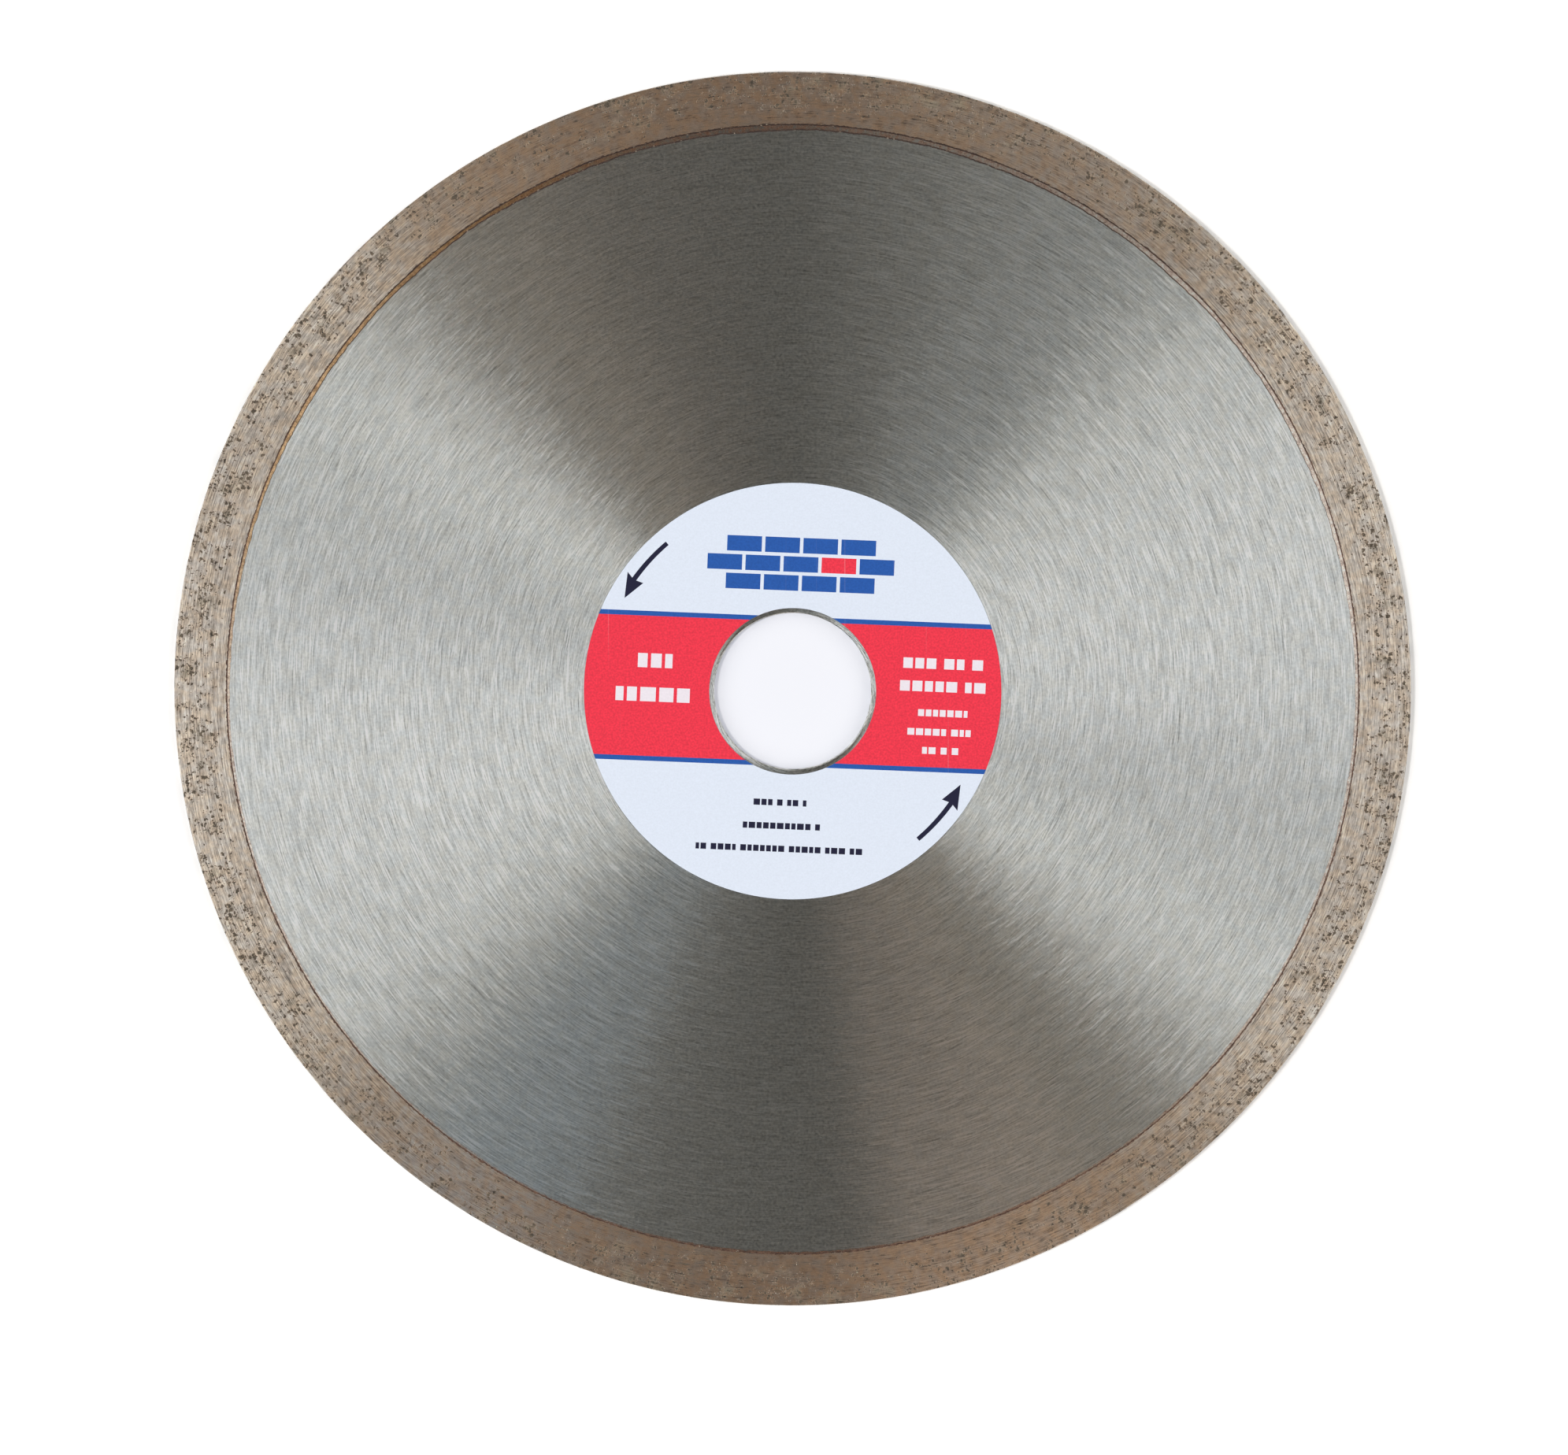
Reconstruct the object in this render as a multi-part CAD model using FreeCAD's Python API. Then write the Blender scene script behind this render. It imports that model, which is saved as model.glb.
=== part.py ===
"""Continuous-rim diamond blade for tile, stone and concrete saws.

The blade lies flat with its axis on +Z, its labelled face up and the underside of its rim at z = 0.
A ground steel core carries a sintered bronze rim. The rim is pressed in two layers: a diamond-free
base that grips the core's edge, and the working layer that holds the diamond crystals.
"""

import FreeCAD
import Part

import math
import os
import random

# ---- Sizes, in millimetres -------------------------------------------------------------------

# The blade as a whole, the hole for the saw's arbor and the seat of its clamping flanges
blade_diameter = 200.0
bore_diameter = 25.4
bore_chamfer = 0.15
flange_diameter = 67.0

# Thickness of the steel core and of the rim, which cuts the core's running clearance in the work
core_thickness = 1.6
rim_thickness = 2.0

# The rim, measured inwards from the cutting edge, and the part of it that holds no diamonds
rim_depth = 8.6
base_depth = 2.6
edge_rounding = 0.2

# The base layer's grip: how far the core runs into it, and the notches in the core's edge
grip_depth = 1.4
notch_depth = 0.9
notch_width = 2.4
notch_spacing = 9.0

# Bond metal squeezed out along the core's faces: a thin fin, wider on one side of the blade
fin_thickness = 0.04
fin_width = 0.55
fin_offset = 0.4
fin_direction_deg = 80.0

# Diamond crystals: the spacing round a row and from row to row, and how far under the ground
# surface the middle of each one lies
crystal_size = 0.42
crystal_spacing = 22.0
crystal_row_spacing = 1.9
crystal_edge_margin = 0.5
crystal_sink = 0.06
crystal_seed = 11

# The paper label and its adhesive, which leave a bare ring of steel round the bore
label_diameter = 67.5
label_hole_diameter = 27.0
label_thickness = 0.1
adhesive_thickness = 0.03
adhesive_inset = 0.15

# ---- Places worked out from the sizes --------------------------------------------------------

blade_radius = blade_diameter / 2
bore_radius = bore_diameter / 2
flange_radius = flange_diameter / 2
rim_inner_radius = blade_radius - rim_depth
base_outer_radius = rim_inner_radius + base_depth
core_radius = rim_inner_radius + grip_depth
side_clearance = (rim_thickness - core_thickness) / 2
core_bottom = side_clearance
core_top = core_bottom + core_thickness
adhesive_top = core_top + adhesive_thickness

# ---- Shapes used more than once --------------------------------------------------------------


def disc(radius, bottom, thickness, centre=(0.0, 0.0)):
    """A flat round disc standing on the height bottom."""
    return Part.makeCylinder(radius, thickness, FreeCAD.Vector(centre[0], centre[1], bottom))


def washer(outer_radius, inner_radius, bottom, thickness):
    """A flat ring standing on the height bottom."""
    return disc(outer_radius, bottom, thickness).cut(disc(inner_radius, bottom, thickness))


def around(count):
    """The angles, in radians, of count places spread evenly round the axis."""
    return [2 * math.pi * k / count for k in range(count)]


def copies_that_fit(radius, spacing):
    """How many copies fit round a circle when they are about this far apart."""
    return max(3, round(2 * math.pi * radius / spacing))


# ---- Steel core ------------------------------------------------------------------------------


def make_steel_core():
    """The ground disc, with its chamfered arbor hole and the notches in its outer edge.

    It is joined from two rings, which leaves the flange's seat as a face of its own on each side.
    """
    seat = disc(flange_radius, core_bottom, core_thickness)
    core = seat.fuse(washer(core_radius, flange_radius, core_bottom, core_thickness))
    bore = disc(bore_radius, core_bottom, core_thickness)
    wide = bore_radius + bore_chamfer
    for height, lower_radius, upper_radius in (
        (core_bottom, wide, bore_radius),
        (core_top - bore_chamfer, bore_radius, wide),
    ):
        start = FreeCAD.Vector(0, 0, height)
        bore = bore.fuse(Part.makeCone(lower_radius, upper_radius, bore_chamfer, start))
    notches = []
    for angle in around(copies_that_fit(core_radius, notch_spacing)):
        notch = Part.makeBox(
            2 * notch_depth,
            notch_width,
            core_thickness,
            FreeCAD.Vector(core_radius - notch_depth, -notch_width / 2, core_bottom),
        )
        notch.rotate(FreeCAD.Vector(), FreeCAD.Vector(0, 0, 1), math.degrees(angle))
        notches.append(notch)
    return core.cut([bore, *notches])


# ---- Rim -------------------------------------------------------------------------------------


def make_rim_base(core):
    """The diamond-free layer: a ring over the core's edge, with its squeezed-out fins."""
    ring = disc(base_outer_radius, 0, rim_thickness)
    hollow = disc(rim_inner_radius, 0, rim_thickness)
    fin_angle = math.radians(fin_direction_deg)
    fin_centre = (-fin_offset * math.cos(fin_angle), -fin_offset * math.sin(fin_angle))
    fins_bottom = core_bottom - fin_thickness
    fins_height = core_thickness + 2 * fin_thickness
    fins = disc(rim_inner_radius, fins_bottom, fins_height)
    fins = fins.cut(disc(rim_inner_radius - fin_width, fins_bottom, fins_height, fin_centre))
    return ring.cut(hollow).fuse(fins).cut(core)


def make_working_layer():
    """The ring of diamond bond outside the base layer, before the sockets are cut."""
    ring = washer(blade_radius, base_outer_radius, 0, rim_thickness)
    corners = [
        edge
        for edge in ring.Edges
        if isinstance(edge.Curve, Part.Circle) and abs(edge.Curve.Radius - blade_radius) < 1e-6
    ]
    return ring.makeFillet(edge_rounding, corners)


def make_crystal(size):
    """A cuboctahedron, the blocky habit of saw-grade diamond: 6 square and 8 triangular faces."""
    reach = size / 2

    def face(*corners):
        points = [FreeCAD.Vector(*corner) * reach for corner in corners]
        return Part.Face(Part.makePolygon([*points, points[0]]))

    signs = (-1, 1)
    faces = [
        face((x, y, 0), (x, 0, z), (0, y, z)) for x in signs for y in signs for z in signs
    ]
    for s in signs:
        faces.append(face((s, 1, 0), (s, 0, 1), (s, -1, 0), (s, 0, -1)))
        faces.append(face((1, s, 0), (0, s, 1), (-1, s, 0), (0, s, -1)))
        faces.append(face((1, 0, s), (0, 1, s), (-1, 0, s), (0, -1, s)))
    return Part.Solid(Part.Shell(faces))


def crystal_places(chance):
    """Places on the rim's surface, each with its outward direction: rows on both faces and edge."""
    first = base_outer_radius + crystal_edge_margin + crystal_size / 2
    last = blade_radius - crystal_edge_margin - crystal_size / 2
    rows = max(1, int((last - first) / crystal_row_spacing) + 1)
    drift = (crystal_row_spacing - crystal_size) / 3
    half_edge = max(0.0, rim_thickness / 2 - crystal_edge_margin - crystal_size / 2)

    def round_row(radius):
        """The directions from the axis of the crystals in one row, unevenly spaced."""
        step = 2 * math.pi / copies_that_fit(radius, crystal_spacing)
        for angle in around(copies_that_fit(radius, crystal_spacing)):
            turn = angle + chance.uniform(0.1, 0.9) * step
            yield FreeCAD.Vector(math.cos(turn), math.sin(turn), 0)

    up = FreeCAD.Vector(0, 0, 1)
    places = []
    for height, outward in ((0.0, -up), (rim_thickness, up)):
        for row in range(rows):
            row_radius = first + (last - first) * (row + 0.5) / rows
            for away in round_row(row_radius):
                radius = row_radius + chance.uniform(-drift, drift)
                places.append((away * radius + up * height, outward))
    for away in round_row(blade_radius):
        height = rim_thickness / 2 + chance.uniform(-half_edge, half_edge)
        places.append((away * blade_radius + up * height, away))
    return places


def random_turn(crystal, outward, chance):
    """A turn that brings no corner so near the ground surface that grinding leaves a sliver."""
    while True:
        turn = FreeCAD.Rotation(*(chance.uniform(0, 360) for _ in range(3)))
        heights = [turn.multVec(corner.Point).dot(outward) for corner in crystal.Vertexes]
        if min(abs(height - crystal_sink) for height in heights) > crystal_size / 40:
            return turn


def seat_crystals(working_layer):
    """The working layer with its sockets, and the crystals ground flush with its surface."""
    chance = random.Random(crystal_seed)
    crystal = make_crystal(crystal_size)
    grains = []
    for place, outward in crystal_places(chance):
        grain = crystal.copy()
        turn = random_turn(crystal, outward, chance)
        grain.Placement = FreeCAD.Placement(place - outward * crystal_sink, turn)
        grains.append(grain)
    # Each grain is split where it leaves the bond, and the outer part is what grinding takes away.
    split = working_layer.generalFuse(grains)[0].Solids
    rim = max(split, key=lambda solid: solid.Volume)
    seated = [
        solid
        for solid in split
        if solid is not rim and working_layer.isInside(solid.CenterOfMass, 0, False)
    ]
    return rim, Part.makeCompound(seated)


# ---- Label -----------------------------------------------------------------------------------


def make_label():
    """The printed paper, lying on its adhesive."""
    return washer(label_diameter / 2, label_hole_diameter / 2, adhesive_top, label_thickness)


def make_label_adhesive():
    """The film between the steel and the paper, a little short of the paper's edges."""
    outer_radius = label_diameter / 2 - adhesive_inset
    inner_radius = label_hole_diameter / 2 + adhesive_inset
    return washer(outer_radius, inner_radius, core_top, adhesive_thickness)


# ---- Assembly --------------------------------------------------------------------------------


def make_nodes():
    """Every piece of the blade by its node name."""
    core = make_steel_core()
    rim, grit = seat_crystals(make_working_layer())
    return {
        "steel_core": core,
        "rim_base": make_rim_base(core),
        "diamond_rim": rim,
        "diamond_grit": grit,
        "label_adhesive": make_label_adhesive(),
        "label": make_label(),
    }


def write_parts():
    """Writes parts/NODE.step for each piece and prints what it holds."""
    os.makedirs("parts", exist_ok=True)
    for name, shape in make_nodes().items():
        shape.exportStep(f"parts/{name}.step")
        print(f"{name}: {len(shape.Solids)} solids, {shape.Volume:.2f} mm3, valid {shape.isValid()}")


write_parts()
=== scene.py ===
# %% [markdown]
# # A continuous-rim diamond blade
#
# A diamond blade for tile is a flat steel disc with a sintered bronze rim. Nothing on it moves, so
# all of its look comes from finish: steel ground in short strokes round the axis, bronze with tiny
# pits where grains were torn out, and a printed paper label. This lesson dresses the construction
# model piece by piece. The model comes in first, as a frame that fixes every size and place.

import math
import random

import bmesh
import bpy
from mathutils import Euler, Matrix, Vector, noise


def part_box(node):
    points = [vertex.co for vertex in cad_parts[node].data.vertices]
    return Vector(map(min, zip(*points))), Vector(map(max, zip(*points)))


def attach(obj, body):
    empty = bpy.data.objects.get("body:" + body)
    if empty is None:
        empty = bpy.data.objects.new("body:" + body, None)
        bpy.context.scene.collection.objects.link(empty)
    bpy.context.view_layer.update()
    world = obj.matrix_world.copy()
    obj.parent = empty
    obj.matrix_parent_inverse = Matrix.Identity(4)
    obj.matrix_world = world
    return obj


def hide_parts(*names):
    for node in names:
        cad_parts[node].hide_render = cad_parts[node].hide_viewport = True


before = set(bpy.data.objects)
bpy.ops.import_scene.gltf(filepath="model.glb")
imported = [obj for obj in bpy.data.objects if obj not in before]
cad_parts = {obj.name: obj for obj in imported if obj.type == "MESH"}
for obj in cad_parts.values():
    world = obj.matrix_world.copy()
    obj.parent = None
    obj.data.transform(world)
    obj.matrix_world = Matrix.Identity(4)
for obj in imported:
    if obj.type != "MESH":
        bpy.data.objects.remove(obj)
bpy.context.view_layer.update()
MM = 0.001
print("nodes:", sorted(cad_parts))

# %% [markdown]
# ## Sizes
#
# Every size is read from the construction model. A node's box gives its height and its outer
# radius, and the distance of its nearest corner from the axis gives the radius of its hole. The rim
# base reaches under the core's edge, so only the corners of its top face give where the rim begins.

# %% Read the sizes from the model


def node_sizes(node):
    """A node's lowest and highest level, and its smallest and largest distance from the axis."""
    low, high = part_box(node)
    distances = [corner.co.xy.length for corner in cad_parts[node].data.vertices]
    return low.z, high.z, min(distances), max(distances)


core_bottom, core_top, bore_radius, core_radius = node_sizes("steel_core")
rim_bottom, rim_top, bond_inner, blade_radius = node_sizes("diamond_rim")
base_outer = node_sizes("rim_base")[3]
base_corners = [corner.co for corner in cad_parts["rim_base"].data.vertices]
rim_inner = min(corner.xy.length for corner in base_corners if corner.z > rim_top - 0.01 * MM)
label_bottom, label_top, label_hole, label_radius = node_sizes("label")
glue_bottom, glue_top, glue_hole, glue_radius = node_sizes("label_adhesive")
print("blade radius", round(blade_radius / MM, 2), "bore radius", round(bore_radius / MM, 2), "mm")

# %% [markdown]
# ## The camera
#
# The blade is seen almost straight from above, from 1.6 m away, with the camera a few degrees
# towards its upper edge. The aim is a little below and to the left of the arbor, which sets the
# blade slightly high in the frame. The lens is worked out from the width that the frame takes in.

# %% Place the camera
CAMERA_DISTANCE = 1.6
CAMERA_TILT = math.radians(4.0)
FRAME_WIDTH = 253.6 * MM
SENSOR_WIDTH = 36.0
aim = Vector((-1.4 * MM, -5.85 * MM, rim_top))


def add_object(name, data):
    """An object with this data, put into the scene."""
    thing = bpy.data.objects.new(name, data)
    bpy.context.scene.collection.objects.link(thing)
    return thing


camera_data = bpy.data.cameras.new("camera")
camera_data.sensor_width = SENSOR_WIDTH
camera_data.lens = SENSOR_WIDTH * CAMERA_DISTANCE / FRAME_WIDTH
camera_data.clip_start = 0.05
camera_data.clip_end = 50.0
camera = add_object("camera", camera_data)
camera.location = aim + CAMERA_DISTANCE * Vector((0, math.sin(CAMERA_TILT), math.cos(CAMERA_TILT)))
camera.rotation_euler = Euler((-CAMERA_TILT, 0, 0))
bpy.context.scene.camera = camera
print("lens", round(camera_data.lens, 1), "mm")

# %% [markdown]
# ## Shader maths as Python
#
# The finishes are sums of many small patterns. Written as nodes by hand they would fill pages, so a
# small class wraps a socket and lets Python's operators add the Math nodes. Everything else goes
# through one method, add, which sets a node's own settings first and then its inputs.

# %% A socket that does arithmetic


class Value:
    """The output of a shader node, with operators that add Math nodes."""

    def __init__(self, tree, socket):
        self.tree = tree
        self.socket = socket

    def math(self, operation, *others):
        """This value put through a Math node, with further values if it takes them."""
        return self.tree.math(operation, self, *others)

    def other(self, output):
        """Another output of the node that this value comes from."""
        return Value(self.tree, self.socket.node.outputs[output])

    def __add__(self, other):
        return self.tree.math("ADD", self, other)

    def __sub__(self, other):
        return self.tree.math("SUBTRACT", self, other)

    def __rsub__(self, other):
        return self.tree.math("SUBTRACT", other, self)

    def __mul__(self, other):
        return self.tree.math("MULTIPLY", self, other)

    def __truediv__(self, other):
        return self.tree.math("DIVIDE", self, other)

    __radd__ = __add__
    __rmul__ = __mul__

    def between(self, low, high, start=0.0, end=1.0):
        """Goes smoothly from start to end while this value goes from low to high."""
        inputs = {"Value": self, "From Min": low, "From Max": high, "To Min": start, "To Max": end}
        return self.tree.add("MapRange", inputs, interpolation_type="SMOOTHSTEP")


class Tree:
    """The shader nodes of a material or of the world."""

    def __init__(self, owner):
        owner.use_nodes = True
        self.nodes = owner.node_tree.nodes
        self.links = owner.node_tree.links
        self.nodes.clear()

    def add(self, kind, inputs=None, output=0, **settings):
        """Adds a node: its settings first, then the values or links of its inputs."""
        node = self.nodes.new("ShaderNode" + kind)
        for name, setting in settings.items():
            setattr(node, name, setting)
        for name, value in (inputs or {}).items():
            if isinstance(value, Value):
                self.links.new(value.socket, node.inputs[name])
            else:
                node.inputs[name].default_value = value
        return Value(self, node.outputs[output]) if node.outputs else node

    def math(self, operation, *terms):
        """A Math node on these terms, each a value or a number."""
        return self.add("Math", dict(enumerate(terms)), operation=operation)

    def mix(self, factor, first, second):
        """A colour that goes from first to second as factor goes from 0 to 1."""
        return self.add("Mix", {0: factor, 6: first, 7: second}, output=2, data_type="RGBA")

    def scale(self, tint, level):
        """A colour made lighter or darker by a level."""
        tint = tint if isinstance(tint, Value) else tint[:3]
        return self.add("VectorMath", {0: tint, "Scale": level}, operation="SCALE")

    def ramp(self, factor, stops):
        """A colour read from a ramp of (position, colour) stops, joined by straight lines."""
        ramp = self.add("ValToRGB", {0: factor})
        elements = ramp.socket.node.color_ramp.elements
        for element, (position, tint) in zip(elements, stops):
            element.position = position
            element.color = tint
        for position, tint in stops[len(elements):]:
            elements.new(position).color = tint
        return ramp

    def noise(self, vector, scale=1.0, detail=2.0, roughness=0.5):
        """Cloudy noise from 0 to 1, with its middle at a half."""
        inputs = {"Vector": vector, "Scale": scale, "Detail": detail, "Roughness": roughness}
        return self.add("TexNoise", inputs)

    def combine(self, x, y, z):
        """A vector of these three values."""
        return self.add("CombineXYZ", {"X": x, "Y": y, "Z": z})

    def place(self):
        """The point being shaded, in metres from the blade's origin, and its x and y."""
        point = self.add("TexCoord", output="Object")
        x = self.add("SeparateXYZ", {0: point}, output="X")
        return point, x, x.other("Y")


def hypotenuse(x, y):
    """How far a point lies from the axis, or from any centre that x and y are measured from."""
    return (x * x + y * y).math("SQRT")


def new_material(name):
    """An empty material and its tree."""
    material = bpy.data.materials.new(name)
    return material, Tree(material)


def surface(tree, inputs, bump=None, bump_height=0.0):
    """A Principled shader and, if asked, a bump of that height in metres."""
    if bump is not None:
        bump_inputs = {"Height": bump, "Distance": bump_height, "Strength": 1.0}
        inputs = {**inputs, "Normal": tree.add("Bump", bump_inputs)}
    return tree.add("BsdfPrincipled", inputs)


def finish_material(tree, shader):
    """Ends a material with this shader."""
    tree.add("OutputMaterial", {"Surface": shader})


def colour(red, green, blue):
    """A colour written as it looks on a screen, from 0 to 255, as Blender's linear values."""

    def linear(level):
        level = level / 255
        return level / 12.92 if level <= 0.04045 else ((level + 0.055) / 1.055) ** 2.4

    return (linear(red), linear(green), linear(blue), 1.0)


print("shader helpers ready")

# %% [markdown]
# ## Ground metal
#
# A grinder leaves short strokes that run nearly round the axis, and a few cross at a slant, because
# the disc was turned under the stone off its centre. One stroke pattern is noise that is squeezed
# hard along the distance from a centre and left long in x and y: it can't have a seam, as noise on
# an angle would. Moving the centre off the arbor slants the strokes, so three layers are crossed.

# %% Strokes round a centre


def strokes(tree, centre, length, width, seed, detail=2.0):
    """Noise drawn out into strokes of about that length and width along circles round centre."""
    _, x, y = tree.place()
    x = x - centre[0]
    y = y - centre[1]
    vector = tree.combine(x / length, y / length, hypotenuse(x, y) / width + seed)
    return tree.noise(vector, detail=detail)


print("stroke helper ready")

# %% [markdown]
# ## The steel core
#
# Under a microscope ground steel is a field of parallel grooves, and each groove spreads light
# across itself. That is why a disc ground round its axis shows bright fans. The Principled shader
# has this built in: Anisotropic stretches the highlight, and with no tangent linked it runs round
# the object's Z axis, so a quarter turn stretches it outwards from the arbor. Strokes that cross
# at a slant catch the light a little earlier or later than their neighbours, which makes the edge
# of a fan sparkle. So three such shaders are mixed, each with its own slant and its own strokes.
# A fourth shows in the narrow ring round the bore, where the honed hole leaves its strokes at a
# steeper slant and the fans turn with them. Dust and the torn floors of the grooves scatter the
# rest: a dull haze over a tenth of the surface keeps the dark sectors from going black.

# %% Steel material
SLANT = 2.5 / 360.0
BORE_SLANT = -20.0 / 360.0
HAZE = 0.11


def make_steel():
    """Ground steel: three sets of strokes round the arbor, with clouds, specks and scratches."""
    material, tree = new_material("ground_steel")
    point, x, y = tree.place()
    straight = strokes(tree, (0.0, 0.0), 5.0 * MM, 0.22 * MM, 3.0)
    slanted = strokes(tree, (6 * MM, 5 * MM), 4.0 * MM, 0.21 * MM, 40.0)
    crossed = strokes(tree, (-6 * MM, -3 * MM), 4.0 * MM, 0.24 * MM, 80.0)
    hairs = strokes(tree, (1 * MM, -2 * MM), 5.0 * MM, 0.13 * MM, 120.0, detail=1.0)
    deep = strokes(tree, (3 * MM, 2 * MM), 6.0 * MM, 0.17 * MM, 160.0, detail=0.0)
    stray = strokes(tree, (70 * MM, 45 * MM), 9.0 * MM, 0.13 * MM, 200.0, detail=0.0)
    clouds = tree.noise(point, scale=75.0, detail=4.0, roughness=0.6)
    tone = tree.noise(point, scale=500.0, detail=2.0)
    grain = tree.noise(point, scale=2300.0, detail=1.0)
    worn = hypotenuse(x, y).between(bore_radius + 1.1 * MM, bore_radius + 0.3 * MM)
    specks = tree.add("TexVoronoi", {"Vector": point, "Scale": 130.0}, output="Distance")
    ground = straight * 0.4 + slanted * 0.3 + crossed * 0.3
    bright = slanted.between(0.60, 0.72) + crossed.between(0.61, 0.73) + straight.between(0.64, 0.74)
    dark = straight.between(0.40, 0.28) + crossed.between(0.36, 0.26)
    # How bright the metal is: strokes, hairs and grain, then deep scratches and bright specks
    level = 0.995 + (ground - 0.5) * 1.6 + (hairs - 0.5) * (0.6 + worn * 2.35) + (clouds - 0.5) * 0.10
    level = level + bright * 0.28 - dark * 0.14 + (grain - 0.5) * (0.42 + worn * 0.5) - worn * 0.06
    level = level + deep.between(0.68, 0.76) * 0.60 - deep.between(0.25, 0.15) * 0.30
    level = level + stray.between(0.81, 0.87) * 0.14 + specks.between(0.035, 0.015) * 0.35
    tint = tree.mix(tone.between(0.35, 0.65), colour(224, 228, 228), colour(228, 229, 225))
    inputs = {
        "Base Color": tree.scale(tint, level),
        "Metallic": 1.0,
        "Roughness": 0.335 + (clouds - 0.5) * 0.03,
        "Anisotropic": 1.0,
    }
    height = straight + hairs * 0.4
    first, second, third, turned = [
        surface(tree, {**inputs, "Anisotropic Rotation": 0.25 + slant}, height, 1.4e-5)
        for slant in (0.0, SLANT, -SLANT, BORE_SLANT)
    ]
    mixed = tree.add("MixShader", {0: slanted.between(0.50, 0.56), 1: first, 2: second})
    mixed = tree.add("MixShader", {0: crossed.between(0.53, 0.59), 1: mixed, 2: third})
    mixed = tree.add("MixShader", {0: worn, 1: mixed, 2: turned})
    haze = tree.scale(colour(176, 171, 160), 1.0 + (grain - 0.5) * 1.8)
    haze = surface(tree, {"Base Color": haze, "Roughness": 0.6})
    finish_material(tree, tree.add("MixShader", {0: HAZE, 1: mixed, 2: haze}))
    return material


steel = make_steel()
print("made", steel.name)

# %% [markdown]
# ## Turned shapes
#
# Everything on the blade is round, so each piece starts as a circle. Its edges are extruded from
# point to point of an outline, as if on a lathe, until the last ring meets the first and is welded
# to it. The steps are fine enough for the cutting edge to look round from close by.

# %% Turn an outline into a piece
STEPS = 1440


def new_corners(grown):
    """The vertices among what an extrusion made."""
    return [item for item in grown["geom"] if isinstance(item, bmesh.types.BMVert)]


def edges_between(shape, corners):
    """The edges that join two of these corners."""
    corners = set(corners)
    return [edge for edge in shape.edges if corners.issuperset(edge.verts)]


def turn_outline(outline, steps=STEPS):
    """Grows a closed ring from point to point of an outline of (radius, height)."""
    shape = bmesh.new()
    radius, height = outline[0]
    bmesh.ops.create_circle(shape, segments=steps, radius=radius)
    bmesh.ops.translate(shape, verts=shape.verts, vec=(0, 0, height))
    edges = shape.edges[:]
    for radius, height in outline[1:] + outline[:1]:
        corners = new_corners(bmesh.ops.extrude_edge_only(shape, edges=edges))
        for corner in corners:
            corner.co.xy = corner.co.xy.normalized() * radius
            corner.co.z = height
        edges = edges_between(shape, corners)
    bmesh.ops.remove_doubles(shape, verts=shape.verts, dist=1e-7)
    bmesh.ops.recalc_face_normals(shape, faces=shape.faces)
    return shape


def to_mesh(name, shape):
    """Turns a bmesh into a mesh."""
    mesh = bpy.data.meshes.new(name)
    shape.to_mesh(mesh)
    shape.free()
    return mesh


def make_piece(name, shape, materials, slot, *nodes):
    """Turns a bmesh into a piece that rides on the blade and stands for these nodes."""
    mesh = to_mesh(name, shape)
    for material in materials:
        mesh.materials.append(material)
    mesh.polygons.foreach_set("use_smooth", [True] * len(mesh.polygons))
    mesh.set_sharp_from_angle(angle=math.radians(25))
    piece = add_object(name, mesh)
    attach(piece, "root")
    if nodes:
        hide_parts(*nodes)
    print(name, len(mesh.polygons), "faces")
    return piece


# %% [markdown]
# The core is a washer. Its bore has a small chamfer on each side, which catches the light as a thin
# bright ring. Its outer edge is buried in the rim, so the notches in that edge are left out here.

# %% Steel core
BORE_CHAMFER = 0.15 * MM


def make_core():
    """The ground disc with its chamfered bore."""
    outline = [
        (bore_radius + BORE_CHAMFER, core_bottom),
        (core_radius, core_bottom),
        (core_radius, core_top),
        (bore_radius + BORE_CHAMFER, core_top),
        (bore_radius, core_top - BORE_CHAMFER),
        (bore_radius, core_bottom + BORE_CHAMFER),
    ]
    return make_piece("core_disc", turn_outline(outline), [steel], "core_steel", "steel_core")


make_core()

# %% [markdown]
# ## The sintered rim
#
# The rim is bronze powder pressed and sintered round the core, then ground on both sides. Grinding
# polishes the high spots, which mirror the room nearly without colour, and leaves brown, dull metal
# in the pores between them. So the finish is two shaders: a shiny metal and a dull brown, mixed by
# a pattern of long fine strokes. Pits lie in loose clusters where grains and bits of bond were torn
# out: a few near the copper film, and ever more towards the working layer. Their dark colour is
# partly grit in them and partly painted shade, since the pits are only a slight bump, not holes.
# Voronoi cells give the pits their places, each cell's own random colour says whether it holds one,
# and a slow noise crowds them together.

# %% Bronze material


def make_pits(tree, point, crowd, density):
    """How deep in a pit a point lies, from 0 to 1. Crowd says where pits are common."""
    warp = tree.noise(point, scale=1800.0, detail=2.0).other("Color")
    moved = tree.add("VectorMath", {0: warp, 1: (0.5, 0.5, 0.5)}, operation="SUBTRACT")
    moved = tree.add("VectorMath", {0: moved, 1: (0.0011,) * 3, 2: point}, operation="MULTIPLY_ADD")
    cell = tree.add("TexVoronoi", {"Vector": moved, "Scale": density}, output="Distance")
    lot = [tree.add("SeparateColor", {0: cell.other("Color")}, output=n) for n in ("Red", "Green")]
    held = (lot[0] + crowd - 1.0).between(0.0, 0.1)
    size = held * (0.22 + 0.26 * lot[1])
    return (size - cell).between(-0.06, 0.12)


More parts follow.
